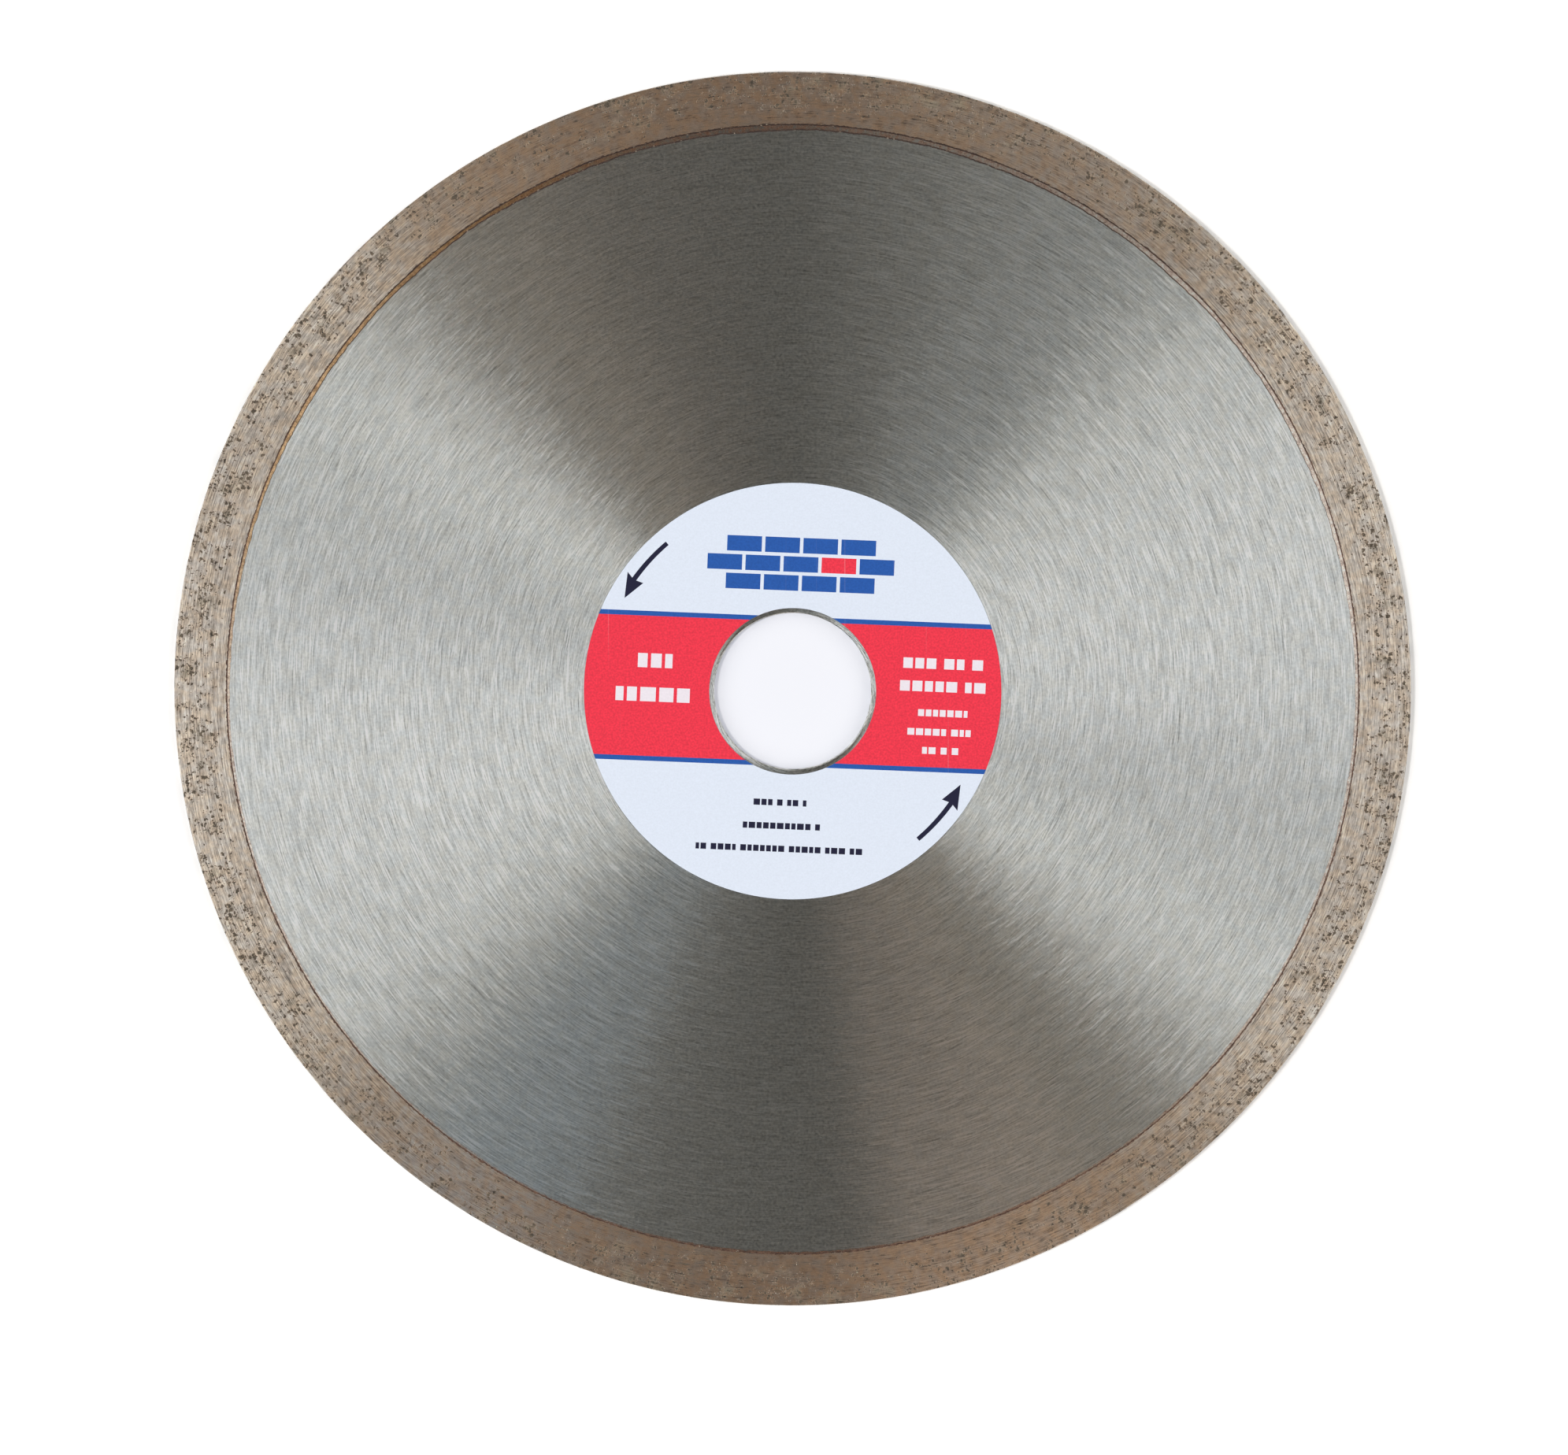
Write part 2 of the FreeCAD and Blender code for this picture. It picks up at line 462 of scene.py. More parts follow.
def make_bronze(name):
    """Ground sintered bronze, with more and more pits towards the layer that holds diamonds."""
    material, tree = new_material(name)
    point, x, y = tree.place()
    lines = strokes(tree, (0.0, 0.0), 5.0 * MM, 0.17 * MM, 7.0)
    short = strokes(tree, (3 * MM, 2 * MM), 1.2 * MM, 0.14 * MM, 31.0)
    patches = tree.noise(point, scale=900.0, detail=3.0, roughness=0.7)
    warm = tree.noise(point, scale=600.0, detail=2.0)
    streak = (lines - 0.5) * 1.7 + (short - 0.5) * 1.3
    shine = 0.60 + streak * 0.46 + (patches - 0.5) * 0.4
    level = 1.0 + streak * 0.62 + (patches - 0.5) * 0.5
    rough_level = 1.0 + streak * 1.4 + (patches - 0.5) * 2.0
    metal = tree.mix(warm.between(0.35, 0.65), colour(226, 223, 216), colour(231, 222, 206))
    dull = tree.mix(warm.between(0.35, 0.65), colour(160, 134, 113), colour(168, 132, 102))
    height = lines * 0.6 + short * 0.4
    outward = hypotenuse(x, y).between(rim_inner, bond_inner + 2.2 * MM)
    crowd = tree.noise(point, scale=330.0, detail=3.0, roughness=0.6)
    common = (0.14 + crowd.between(0.38, 0.60) * 0.74) * outward
    small = make_pits(tree, point, common * 0.7, 2300.0)
    pits = make_pits(tree, point, common, 1300.0).math("MAXIMUM", small)
    stain = crowd.between(0.50, 0.70) * outward
    shine = shine - stain * 0.25 - pits * 0.75
    dull = tree.mix(stain * 0.8, dull, colour(122, 113, 96))
    # Painted shade: the pits are painted dark, partly for grit and partly for the shade in a hollow
    dull = tree.mix(pits, dull, colour(86, 76, 63))
    height = height - pits * 2.0
    inputs = {
        "Base Color": tree.scale(metal, level),
        "Metallic": 1.0,
        "Roughness": 0.36,
        "Anisotropic": 0.95,
        "Anisotropic Rotation": 0.262,
    }
    shiny = surface(tree, inputs, height, 7e-6)
    matt_inputs = {"Base Color": tree.scale(dull, rough_level), "Roughness": 0.6}
    matt = surface(tree, matt_inputs, height, 7e-6)
    mixed = tree.add("MixShader", {0: shine.between(0.0, 1.0), 1: matt, 2: shiny})
    finish_material(tree, mixed)
    return material


base_bronze = make_bronze("base_bronze")
bond_bronze = make_bronze("bond_bronze")
print("made", base_bronze.name, "and", bond_bronze.name)

# %% [markdown]
# Where the base layer ends, hot bond metal crept out along the core as a film thinner than paper.
# It is redder than the ground rim and has short wrinkles across it. Dark, unground scale marks its
# edge and the foot of the step; on the step the dark brown is partly painted shade, the shadow that
# gathers at the step's foot.

# %% Copper film and dark scale


def make_copper():
    """Coppery metal that was squeezed out, wrinkled across and only lightly ground."""
    material, tree = new_material("squeezed_copper")
    point, x, y = tree.place()
    flat = hypotenuse(x, y)
    wrinkles = tree.noise(tree.combine(x / flat, y / flat, flat * 20.0), scale=420.0)
    grain = tree.noise(point, scale=1500.0, detail=2.0)
    level = 1.0 + (wrinkles - 0.5) * 1.6 + (grain - 0.5) * 1.4
    hot = ((y * 0.6 - x * 0.8) / flat).between(0.72, 0.98)
    metal = {
        "Base Color": tree.scale(tree.mix(hot, colour(246, 232, 220), colour(232, 196, 152)), level),
        "Metallic": 1.0,
        "Roughness": 0.36,
        "Anisotropic": 0.95,
        "Anisotropic Rotation": 0.25,
    }
    brown = tree.mix(hot, colour(150, 98, 66), colour(150, 94, 46))
    brown = {"Base Color": tree.scale(brown, level), "Roughness": 0.6}
    shiny = surface(tree, metal, wrinkles + grain * 0.5, 8e-6)
    matt = surface(tree, brown, wrinkles + grain * 0.5, 8e-6)
    finish_material(tree, tree.add("MixShader", {0: grain.between(-0.5, 0.8), 1: matt, 2: shiny}))
    return material


def make_scale_and_painted_shade():
    """Dark brown scale with a bright fleck of metal here and there; on the step, partly painted
    shade.
    """
    material, tree = new_material("dark_scale_and_painted_shade")
    point, x, y = tree.place()
    grain = tree.noise(point, scale=1300.0, detail=3.0, roughness=0.7)
    flecks = tree.noise(point, scale=2300.0, detail=1.0).between(0.66, 0.74)
    dark = tree.mix(grain.between(0.35, 0.7), colour(72, 51, 43), colour(118, 90, 74))
    burnt = (y / hypotenuse(x, y)).between(0.4, 0.95)
    dark = tree.mix(burnt * 0.7, dark, colour(44, 35, 32))
    inputs = {
        "Base Color": tree.mix(flecks, dark, colour(150, 136, 120)),
        "Metallic": 0.2,
        "Roughness": 0.65,
    }
    finish_material(tree, surface(tree, inputs, grain, 10e-6))
    return material


copper = make_copper()
scale = make_scale_and_painted_shade()
print("made", copper.name, "and", scale.name)

# %% [markdown]
# The base layer is a ring with a step down to the core. Its film is a second closed ring, grown
# inwards from the step in three extrusions: the film, its dark edge, and its thickness. Noise makes
# the reach of each corner uneven. The film is widest on one side of the blade, because the press
# was never quite true.

# %% Rim base with its film
# The bronze is set back by this much, and the diamonds stand proud of it by no more
PROUD = 0.012 * MM
STEP_WIDTH = 0.26 * MM
STEP_DROP = 0.16 * MM
FILM_THICKNESS = 0.04 * MM
FILM_WIDTH = 0.38 * MM
FILM_LEAN = 0.22 * MM
FILM_EDGE = 0.22 * MM
FILM_LEAST = 0.02 * MM
FILM_OVERLAP = 0.05 * MM
FILM_WIDEST = math.radians(80)
FINE_STEPS = 2880
face_bottom = rim_bottom + PROUD
face_top = rim_top - PROUD
edge_radius = blade_radius - PROUD


def film_width(corner):
    """How far the film reaches in along the core at this corner's angle."""
    away = Vector((corner.co.x, corner.co.y, 0.0)).normalized()
    angle = math.atan2(away.y, away.x)
    width = FILM_WIDTH + FILM_LEAN * math.cos(angle - FILM_WIDEST)
    broad = 1.0 + 0.45 * noise.noise(away * 8.0)
    ragged = noise.noise(away * 60.0) * 0.12 + noise.noise(away * 300.0) * 0.07
    return max(FILM_LEAST, width * broad + ragged * MM)


def add_film(shape, bottom, top):
    """A ragged ring of film on one face of the core. Its dark edge is widest towards +Y."""
    film = bmesh.new()
    bmesh.ops.create_circle(film, segments=FINE_STEPS, radius=rim_inner + FILM_OVERLAP)
    bmesh.ops.translate(film, verts=film.verts, vec=(0, 0, bottom))
    edges = film.edges[:]
    for material_index, edge_width in ((2, 0.0), (1, FILM_EDGE)):
        before = set(film.faces)
        inner = new_corners(bmesh.ops.extrude_edge_only(film, edges=edges))
        for corner in inner:
            strip = edge_width * max(0.05, corner.co.xy.normalized().y)
            reach = rim_inner - film_width(corner) - strip
            corner.co.xy = corner.co.xy.normalized() * reach
        for face in set(film.faces) - before:
            face.material_index = material_index
        edges = edges_between(film, inner)
    raised = new_corners(bmesh.ops.extrude_face_region(film, geom=film.faces[:]))
    bmesh.ops.translate(film, verts=raised, vec=(0, 0, top - bottom))
    bmesh.ops.recalc_face_normals(film, faces=film.faces)
    shape.from_mesh(to_mesh("film", film))


def make_base():
    """The base layer: its step over the core's edge, and the film on both faces."""
    brink = rim_inner + STEP_WIDTH
    outline = [
        (rim_inner, core_bottom),
        (rim_inner, face_bottom + STEP_DROP),
        (brink, face_bottom),
        (base_outer, face_bottom),
        (base_outer, face_top),
        (brink, face_top),
        (rim_inner, face_top - STEP_DROP),
        (rim_inner, core_top),
        (core_radius, core_top),
        (core_radius, core_bottom),
    ]
    shape = turn_outline(outline, FINE_STEPS)
    # The step's slope and wall get the dark scale, which is partly painted shade at the step's foot
    for face in shape.faces:
        if face.calc_center_median().xy.length < rim_inner + STEP_WIDTH * 0.9:
            face.material_index = 1
    for corner in shape.verts:
        if abs(corner.co.xy.length - brink) < 0.001 * MM:
            away = Vector((corner.co.x, corner.co.y, 0.0)).normalized()
            wander = noise.noise(away * 250.0) * 0.16 + noise.noise(away * 50.0) * 0.08
            corner.co.xy += away.xy * wander * MM
    add_film(shape, core_top, core_top + FILM_THICKNESS)
    add_film(shape, core_bottom - FILM_THICKNESS, core_bottom)
    return make_piece(
        "rim_base_ring", shape, [base_bronze, scale, copper], "base_bronze", "rim_base"
    )


make_base()

# %% [markdown]
# The working layer is a plain ring whose outer corners are rounded by the grinding of its edge. A
# bevel on a finished ring would do it too, but the outline takes any points, so each rounding is
# simply a quarter circle of them.

# %% Working layer
EDGE_ROUNDING = 0.2 * MM
ROUNDING_STEPS = 5


def rounded_corner(radius, height, way, start):
    """Points of a quarter circle at the cutting edge. way is 1 at the top and -1 at the bottom."""
    radius = radius - EDGE_ROUNDING
    height = height - way * EDGE_ROUNDING
    turns = [math.radians(start + 90 * k / ROUNDING_STEPS) for k in range(ROUNDING_STEPS + 1)]
    return [
        (radius + EDGE_ROUNDING * math.cos(turn), height + EDGE_ROUNDING * math.sin(turn))
        for turn in turns
    ]


def make_bond():
    """The ring that holds the diamonds."""
    outline = [
        (bond_inner, face_bottom),
        *rounded_corner(edge_radius, face_bottom, -1, -90),
        *rounded_corner(edge_radius, face_top, 1, 0),
        (bond_inner, face_top),
    ]
    return make_piece(
        "bond_ring", turn_outline(outline), [bond_bronze], "bond_bronze", "diamond_rim"
    )


make_bond()

# %% [markdown]
# ## The diamonds
#
# A saw diamond is a blocky crystal a third of a millimetre across. A cube with its corners cut off
# to the middle of its edges has that shape. Thousands lie in the bond, and those that break its
# surface are ground nearly flush. Most look dark against the bond, and a few are pale: their pale
# colour is partly a painted highlight, standing in for crystals that catch the light.

# %% Crystal material and shape


def make_diamond():
    """Dark, slightly yellow synthetic diamond with a glassy face; the pale ones are partly painted
    highlight.
    """
    material, tree = new_material("diamond_crystal")
    tint = tree.noise(tree.place()[0], scale=1400.0, detail=1.0)
    inputs = {
        # Painted highlight: a few crystals are painted pale, partly for crystals that catch the light
        "Base Color": tree.mix(tint.between(0.58, 0.7), colour(62, 57, 50), colour(206, 198, 170)),
        "Roughness": 0.25,
        "IOR": 2.4,
    }
    finish_material(tree, surface(tree, inputs))
    return material


def crystal_mesh():
    """A cuboctahedron one unit across."""
    shape = bmesh.new()
    bmesh.ops.create_cube(shape, size=1.0)
    bmesh.ops.bevel(
        shape,
        geom=shape.verts[:],
        offset=50.0,
        offset_type="PERCENT",
        affect="VERTICES",
        segments=1,
        profile=0.5,
        material=-1,
    )
    bmesh.ops.remove_doubles(shape, verts=shape.verts, dist=0.01)
    return to_mesh("crystal", shape)


diamond = make_diamond()
crystal = crystal_mesh()
crystal_corners = [corner.co.copy() for corner in crystal.vertices]
print("crystal with", len(crystal.polygons), "faces")

# %% [markdown]
# The crystals cluster as the powder did, so a slow noise turns many of the random places down. Each
# crystal is turned at random and sunk until its highest corner just shows. They are all copied into
# one mesh, because thousands of separate objects would be slow to handle.

# %% Scatter the crystals
FACE_CRYSTALS = 1500
EDGE_CRYSTALS = 700
CRYSTAL_SIZES = (0.18 * MM, 0.42 * MM)
INNER_MARGIN = 0.4 * MM
OUTER_MARGIN = 0.5 * MM
FACE_MARGIN = 0.4 * MM
UP = Vector((0, 0, 1))
chance = random.Random(5)


def clustered(place):
    """True where the powder happened to hold more diamonds."""
    crowd = noise.noise(place * 420.0) + 0.5 * noise.noise(place * 1300.0)
    return crowd > chance.uniform(-0.25, 0.65)


def add_crystal(shape, place, outward, size):
    """One crystal, turned at random and sunk so that its highest corner just shows."""
    turn = Euler([chance.uniform(0, 2 * math.pi) for _ in range(3)]).to_matrix()
    highest = max((turn @ corner).dot(outward) for corner in crystal_corners) * size
    middle = place + outward * (PROUD * chance.uniform(0.3, 1.0) - highest)
    for corner, start in zip(crystal.vertices, crystal_corners):
        corner.co = middle + turn @ start * size
    shape.from_mesh(crystal)


def random_direction():
    """A level direction away from the axis."""
    angle = chance.uniform(0, 2 * math.pi)
    return Vector((math.cos(angle), math.sin(angle), 0.0))


def place_on_face(height):
    """A place on one face of the working layer, a little more often far out."""
    away = random_direction()
    inner = bond_inner + INNER_MARGIN
    outer = blade_radius - OUTER_MARGIN
    return away * (inner + (outer - inner) * chance.uniform(0, 1) ** 0.8) + UP * height


def place_on_edge():
    """A place on the cutting edge, with its outward direction."""
    away = random_direction()
    height = chance.uniform(rim_bottom + FACE_MARGIN, rim_top - FACE_MARGIN)
    return away * edge_radius + UP * height, away


def scatter(shape, count, pick):
    """Adds this many crystals at picked places, each with its outward direction."""
    made = 0
    while made < count:
        place, outward = pick()
        if clustered(place):
            add_crystal(shape, place, outward, chance.uniform(*CRYSTAL_SIZES))
            made += 1


def make_crystals():
    """Crystals that break both faces of the working layer and its cutting edge."""
    shape = bmesh.new()
    scatter(shape, FACE_CRYSTALS, lambda: (place_on_face(face_top), UP))
    scatter(shape, FACE_CRYSTALS, lambda: (place_on_face(face_bottom), -UP))
    scatter(shape, EDGE_CRYSTALS, place_on_edge)
    return make_piece("diamond_grains", shape, [diamond], "diamond", "diamond_grit")


make_crystals()

# %% [markdown]
# ## The label
#
# The label is a disc of satin paper, printed in a few flat inks. A printer lays ink down in fine
# dots and in passes of the head, so no ink is quite even. Ink is too thin to need a layer of its
# own in the shader: each ink is simply paper of another colour, with a trace of dots and passes.

# %% Paper and inks


def make_print(name, ink, streaky=0.0, dotted=0.08):
    """Satin paper under one ink, with a trace of the printer's raster."""
    material, tree = new_material(name)
    point, x, y = tree.place()
    fibres = tree.noise(point, scale=1500.0, detail=2.0)
    raster = tree.noise(point, scale=3200.0, detail=0.0)
    passes = tree.noise(tree.combine(x * 2200.0, y * 12.0, 0.0), detail=1.0)
    ink = tree.mix(passes.between(0.66, 0.78) * streaky, ink, colour(238, 222, 226))
    inputs = {
        "Base Color": tree.scale(ink, 1.0 + (raster - 0.5) * dotted + (fibres - 0.5) * 0.06),
        "Roughness": 0.5,
        "Specular IOR Level": 0.3,
    }
    finish_material(tree, surface(tree, inputs, fibres, 2e-6))
    return material


white_paper = make_print("white_paper", colour(222, 230, 244))
red_ink = make_print("red_ink", colour(235, 55, 75), streaky=0.14, dotted=0.4)
blue_ink = make_print("blue_ink", colour(38, 88, 168), streaky=0.05, dotted=0.3)
dark_ink = make_print("dark_ink", colour(30, 30, 56))
white_ink = make_print("white_ink", colour(236, 228, 236))
print("made paper and four inks")

# %% [markdown]
# Across the middle runs a red band between two blue lines. It could be painted by a shader, but its
# edges would then be only as sharp as the baked picture. Here they are real cuts in the mesh: a
# plane is passed through the disc for each edge, and the faces between two planes get that ink. The
# print lies a little askew.

# %% Label with its band
PRINT_TURN = math.radians(-2.3)
LABEL_STEPS = 360
BAND_TOP = 11.32 * MM
BAND_BOTTOM = -11.4 * MM
LINE_WIDTH = 0.78 * MM
print_up = Vector((-math.sin(PRINT_TURN), math.cos(PRINT_TURN), 0.0))


def washer(inner, outer, bottom, top):
    """The outline of a flat ring."""
    return [(inner, bottom), (outer, bottom), (outer, top), (inner, top)]


def make_label():
    """The paper disc, cut along the edges of its band."""
    outline = washer(label_hole, label_radius, label_bottom, label_top)
    shape = turn_outline(outline, steps=LABEL_STEPS)
    cuts = [BAND_BOTTOM - LINE_WIDTH, BAND_BOTTOM, BAND_TOP, BAND_TOP + LINE_WIDTH]
    for height in cuts:
        bmesh.ops.bisect_plane(
            shape,
            geom=shape.verts[:] + shape.edges[:] + shape.faces[:],
            plane_co=print_up * height,
            plane_no=print_up,
        )
    for face in shape.faces:
        if face.normal.z > 0.5:
            height = face.calc_center_median().dot(print_up)
            crossed = sum(height > cut for cut in cuts)
            # From the bottom up: paper, blue line, red band, blue line, paper
            face.material_index = (0, 2, 1, 2, 0)[crossed]
    return make_piece(
        "paper_label", shape, [white_paper, red_ink, blue_ink], "label_paper", "label"
    )


make_label()

# %% [markdown]
# Two arrows show which way the blade turns. They and the small marks are ink on top of the paper, a
# hundredth of a millimetre thick. Each is a flat outline made in the print's own directions and
# pushed up by that much. Where a maker would put a name and a few lines of words, this label has a
# wall of bricks and rows of blocks.

# %% Arrows and marks
layout = random.Random(3)
INK_THICKNESS = 0.01 * MM
ARROW_RADIUS = 31.4 * MM
ARROW_START = math.radians(132.5)
ARROW_SWEEP = math.radians(14.4)
ARROW_HEAD = math.radians(6.3)
BARB_BACK = math.radians(0.6)
BARB_REACH = 1.55 * MM
TIP_INWARD = 0.3 * MM
SHAFT_STEPS = 12
BRICK_WIDTH = 5.6 * MM
BRICK_HEIGHT = 2.5 * MM
BRICK_JOINT = 0.55 * MM


def add_flat(shape, points, material_index):
    """A flat outline lying on the label, given in the print's directions, made an ink's height."""
    corners = [shape.verts.new((x, y, label_top)) for x, y in points]
    face = shape.faces.new(corners)
    face.normal_update()
    if face.normal.z < 0:
        face.normal_flip()
    top = new_corners(bmesh.ops.extrude_face_region(shape, geom=[face]))
    bmesh.ops.translate(shape, verts=top, vec=(0, 0, INK_THICKNESS))
    faces = {near for corner in top for near in corner.link_faces} | {face}
    for near in faces:
        near.material_index = material_index


def polar(radius, angle):
    """A point in the print's plane."""
    return (radius * math.cos(angle), radius * math.sin(angle))


def arrow_points(start):
    """A curved arrow along a circle round the arbor: a shaft that widens and a barbed head."""
    outside = []
    inside = []
    for k in range(SHAFT_STEPS + 1):
        share = k / SHAFT_STEPS
        half = (0.36 + 0.04 * share) * MM
        angle = start + ARROW_SWEEP * share
        outside.append(polar(ARROW_RADIUS + half, angle))
        inside.append(polar(ARROW_RADIUS - half, angle))
    end = start + ARROW_SWEEP
    head = [
        polar(ARROW_RADIUS + BARB_REACH, end - BARB_BACK),
        polar(ARROW_RADIUS - TIP_INWARD, end + ARROW_HEAD),
        polar(ARROW_RADIUS - BARB_REACH, end - BARB_BACK),
    ]
    return outside + head + inside[::-1]


def add_block(shape, middle, height, width, thickness, material_index):
    """One plain block."""
    corners = ((-0.5, -0.5), (0.5, -0.5), (0.5, 0.5), (-0.5, 0.5))
    points = [(middle + x * width, height + y * thickness) for x, y in corners]
    add_flat(shape, points, material_index)


def add_course(shape, left, right, height, thickness, material_index):
    """A row of small blocks of uneven widths from left to right, with a wide gap now and then."""
    start = left
    while start < right - thickness * 0.4:
        width = min(thickness * layout.uniform(0.55, 1.1), right - start)
        add_block(shape, start + width / 2, height, width, thickness, material_index)
        joint = 0.75 if layout.random() < 0.2 else 0.24
        start += width + thickness * joint


def add_bricks(shape, middle, height):
    """Three courses of blue bricks, with one red brick in the middle course."""
    for course, (count, red) in enumerate(((4, None), (5, 3), (4, None))):
        for k in range(count):
            x = middle + (k - (count - 1) / 2) * (BRICK_WIDTH + BRICK_JOINT)
            y = height + (course - 1) * (BRICK_HEIGHT + BRICK_JOINT)
            add_block(shape, x, y, BRICK_WIDTH, BRICK_HEIGHT, 2 if k == red else 1)


def make_marks():
    """All the small print on the label, turned askew as one."""
    shape = bmesh.new()
    for start in (ARROW_START, ARROW_START + math.pi):
        add_flat(shape, arrow_points(start), 0)
    add_bricks(shape, 0.5 * MM, 20.6 * MM)
    # Each course: its left and right end, height and thickness in millimetres, and its ink
    courses = [
        (-25.2, -19.6, 4.1, 2.3, 3), (-28.6, -16.2, -1.4, 2.3, 3),
        (17.7, 31.1, 5.4, 1.7, 3), (17.3, 31.5, 1.7, 1.7, 3),
        (20.4, 28.4, -2.6, 1.1, 3), (18.8, 30.0, -5.7, 1.1, 3), (21.3, 27.5, -8.7, 1.1, 3),
        (-5.6, 3.4, -18.1, 1.0, 0), (-7.2, 5.3, -21.9, 1.0, 0), (-14.7, 12.4, -25.6, 1.0, 0),
    ]
    for left, right, height, thickness, ink in courses:
        add_course(shape, left * MM, right * MM, height * MM, thickness * MM, ink)
    bmesh.ops.rotate(
        shape, verts=shape.verts, cent=(0, 0, 0), matrix=Matrix.Rotation(PRINT_TURN, 3, "Z")
    )
    bmesh.ops.recalc_face_normals(shape, faces=shape.faces)
    inks = [dark_ink, blue_ink, red_ink, white_ink]
    return make_piece("label_marks", shape, inks, "label_paper")


make_marks()

# %% [markdown]
# The adhesive shows only as a hairline under the paper's edges, so a plain ring with one satin
# finish is enough.

# %% Adhesive


def make_glue():
    """The film of adhesive under the label."""
    material, tree = new_material("clear_glue")
    haze = tree.noise(tree.place()[0], scale=400.0)
    inputs = {
        "Base Color": tree.mix(haze, colour(214, 212, 202), colour(230, 228, 220)),
        "Roughness": 0.35,
    }
    finish_material(tree, surface(tree, inputs))
    outline = washer(glue_hole, glue_radius, glue_bottom, glue_top)
    shape = turn_outline(outline, steps=LABEL_STEPS)
    return make_piece("label_glue", shape, [material], "adhesive", "label_adhesive")


make_glue()

# %% [markdown]
# ## The light and the table
#
# Ground metal shows whatever stands round it, so the room matters more than the lamps: broad white
# softboxes stand on the left and the right, and the rest of the room is dim. They could be large
# lamps, but here they are painted in the world as a panorama of soft patches, whose brightness can
# be set for every direction. They light the paper evenly and show in the steel as bright fans.

# %% Room
# Radiance of the room by direction, from 0 to 180 degrees; the other half of the room repeats it.
PANORAMA = (
    (0, 2.36, 2.36, 2.40), (10, 2.54, 2.54, 2.52), (22, 2.50, 2.50, 2.50), (34, 2.10, 2.10, 2.08),
    (45, 2.15, 2.14, 2.06), (47.5, 0.02, 0.03, 0.03), (53, 0.30, 0.32, 0.33), (60, 0.57, 0.57, 0.56),
    (67, 0.30, 0.30, 0.29), (75, 0.06, 0.06, 0.06), (86, 0.03, 0.03, 0.03), (115, 0.01, 0.01, 0.01),
    (119, 0.38, 0.30, 0.23), (127, 0.50, 0.41, 0.32), (137, 0.14, 0.07, 0.02),
    (139.5, 2.85, 2.83, 2.74), (144, 2.64, 2.64, 2.57), (151, 2.74, 2.74, 2.69),
    (162, 0.88, 0.90, 0.92), (173, 2.56, 2.57, 2.58),
)


def make_room():
    """The world: dim walls, and in a band of height a soft panorama that is brighter on the left."""
    world = bpy.data.worlds.new("studio")
    bpy.context.scene.world = world
    tree = Tree(world)
    sky = tree.add("TexCoord", output="Generated")
    x, y, z = [tree.add("SeparateXYZ", {0: sky}, output=axis) for axis in "XYZ"]
    turn = (y.math("ARCTAN2", x) / math.pi).math("FRACT")
    stops = [(angle / 180, level + [1.0]) for angle, *level in PANORAMA]
    panorama = tree.ramp(turn, stops + [(1.0, stops[0][1])])
    flat = hypotenuse(x, y)
    low = z.between(math.sin(math.radians(14)), math.sin(math.radians(26)))
    high = z.between(math.sin(math.radians(73)), math.sin(math.radians(60)))
    level = low * high * (0.72 - 0.06 * x / flat + 0.035 * y / flat)
    light = tree.scale(panorama, level)
    light = tree.add("VectorMath", {0: light, 1: (0.040, 0.040, 0.038)}, operation="ADD")
    background = tree.add("Background", {"Color": light, "Strength": 1.0})
    tree.add("OutputWorld", {"Surface": background})
    return world


room = make_room()
print("made", room.name)

# %% [markdown]
# A small lamp high on the left throws the narrow shadow on the other side of the blade and inside
# its bore; it is left out of reflections, or it would burn a hot fan into the steel. Three dim cards
# stand close to the blade, just out of sight. The room shows alike in opposite sectors of the disc,
# but a card that is near shows far more in its own sector: a brown fan and a slate one below, and a
# pale wide one at the upper right.

# %% Lamps


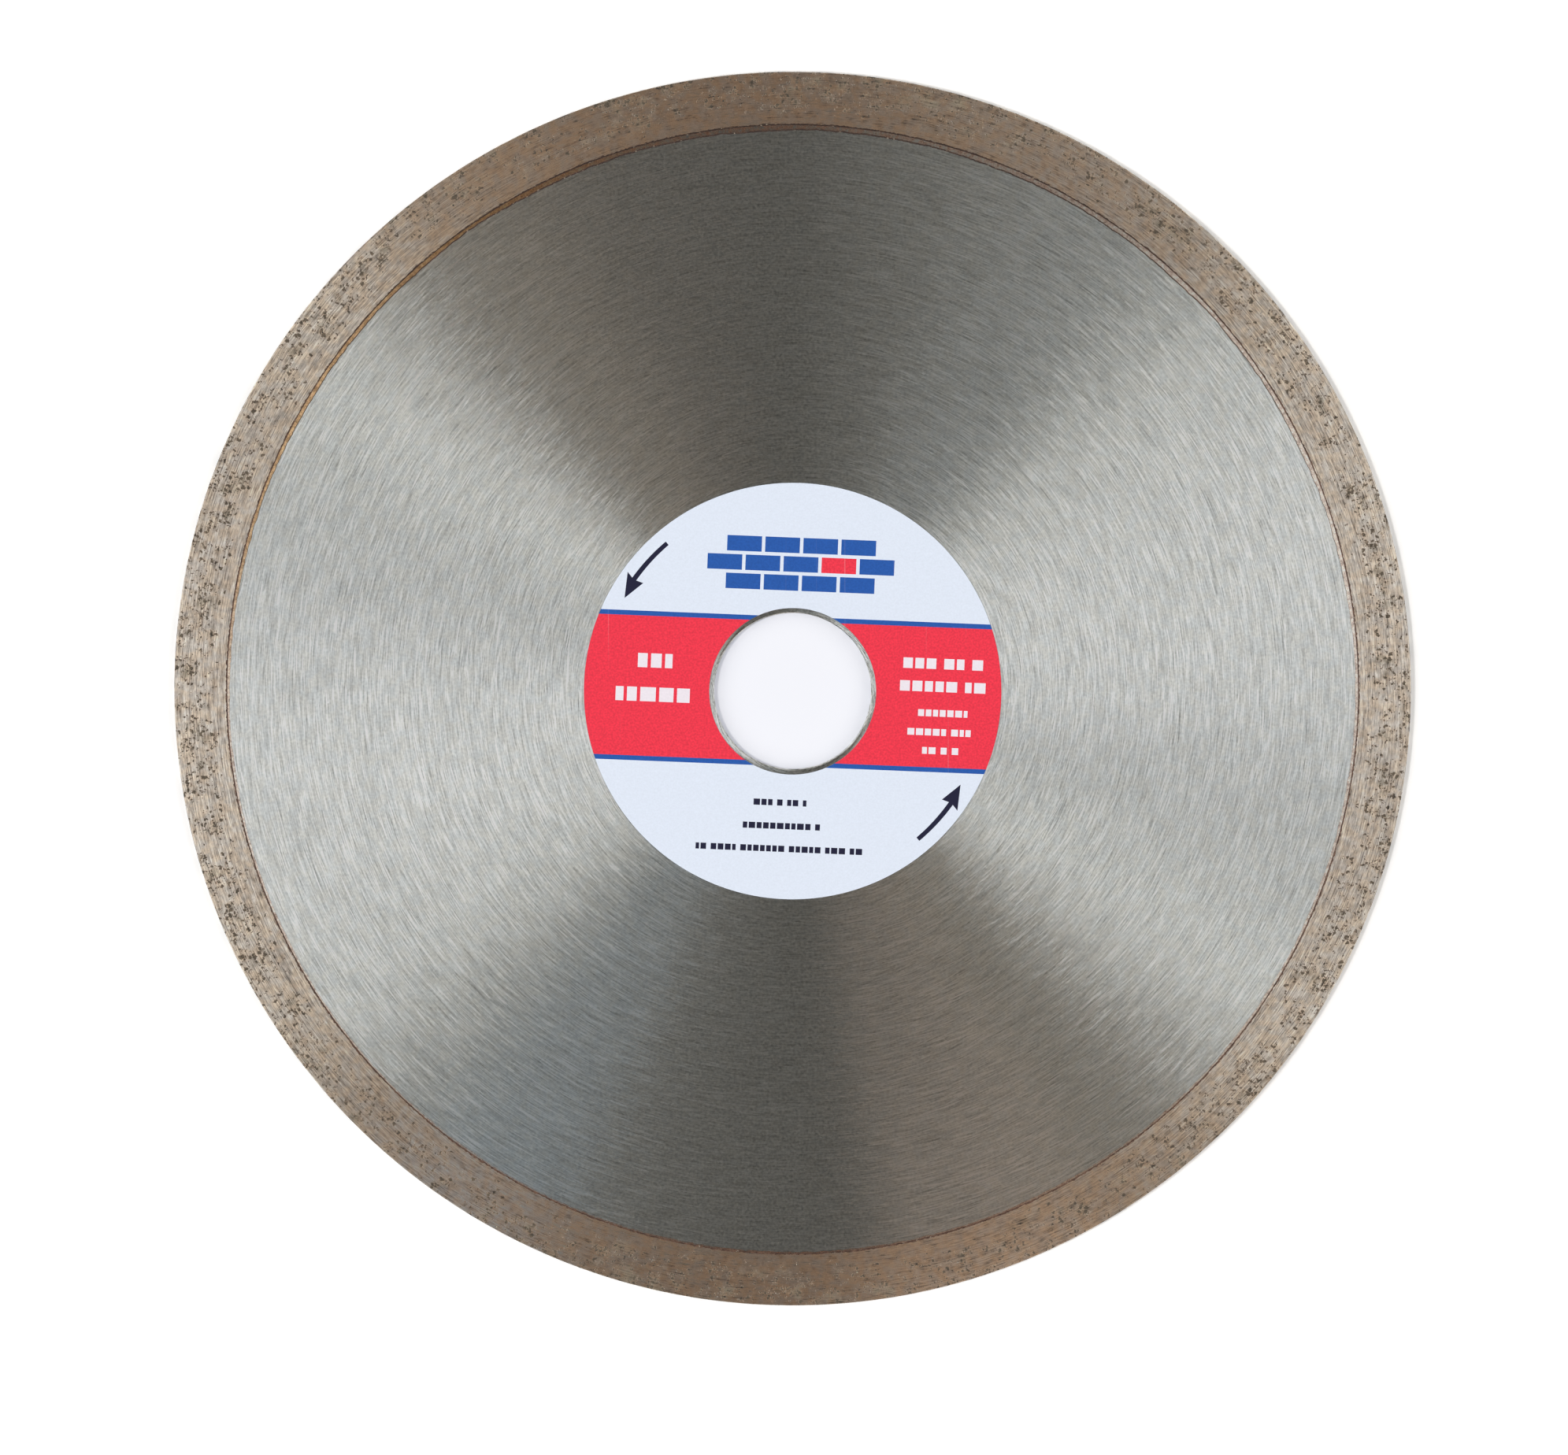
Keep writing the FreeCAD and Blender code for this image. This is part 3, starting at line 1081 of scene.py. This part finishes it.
def make_lamp(name, azimuth, distance, height, size, tint, power):
    """A soft lamp that stands beside the blade and faces its centre."""
    light = bpy.data.lights.new(name, "AREA")
    light.shape = "RECTANGLE"
    light.size, light.size_y = size
    light.color = tint
    light.energy = power
    lamp = add_object(name, light)
    turn = math.radians(azimuth)
    lamp.location = (distance * math.cos(turn), distance * math.sin(turn), height)
    lamp.rotation_euler = lamp.location.to_track_quat("Z", "Y").to_euler()
    lamp.visible_camera = False
    return lamp


key_lamp = make_lamp("key_lamp", 182, 0.54, 1.52, (0.2, 0.2), (1.0, 1.0, 1.0), 9.7)
key_lamp.visible_glossy = False
make_lamp("warm_card", 289, 0.22, 0.13, (0.078, 0.10), (1.0, 0.74, 0.58), 0.023)
make_lamp("cool_card", 240, 0.22, 0.13, (0.060, 0.10), (0.20, 0.60, 1.0), 0.008)
make_lamp("pale_card", 58, 0.22, 0.13, (0.22, 0.10), (1.0, 0.95, 0.86), 0.031)
print("made", key_lamp.name, "and three cards")

# %% [markdown]
# The blade lies on a white table. A little glow lifts it to pure white, but only for the camera's
# own rays, so that it doesn't light the blade from below. Within the bore the white is painted a
# little darker and the glow a little bluer, as painted shade for the walls that keep out the light
# from the sides.

# %% Table
TABLE_SIZE = 12.0


def make_table():
    """A white table that keeps the blade's soft shadow."""
    material, tree = new_material("white_table")
    point, x, y = tree.place()
    mottle = tree.noise(point, scale=30.0, detail=2.0)
    seen = tree.add("LightPath", output="Is Camera Ray")
    clear = hypotenuse(x, y).between(bore_radius, 2 * bore_radius)
    # Painted shade: in the bore the table's white is darker and its camera-only glow bluer
    bore_shade = 0.75 + clear * 0.25
    glow = tree.mix(clear, (0.20, 0.21, 0.27, 1.0), (0.22, 0.22, 0.22, 1.0))
    white = tree.mix(mottle, colour(243, 243, 243), colour(245, 245, 245))
    inputs = {
        "Base Color": tree.scale(white, bore_shade),
        "Roughness": 0.9,
        "Emission Color": tree.scale(glow, seen),
        "Emission Strength": 1.0,
    }
    finish_material(tree, surface(tree, inputs))
    shape = bmesh.new()
    bmesh.ops.create_grid(shape, x_segments=8, y_segments=8, size=TABLE_SIZE / 2)
    mesh = to_mesh("table_top", shape)
    mesh.materials.append(material)
    table = add_object("table_top", mesh)
    return table


table = make_table()
bpy.context.scene.view_settings.view_transform = "Standard"
print("table", TABLE_SIZE, "m wide")
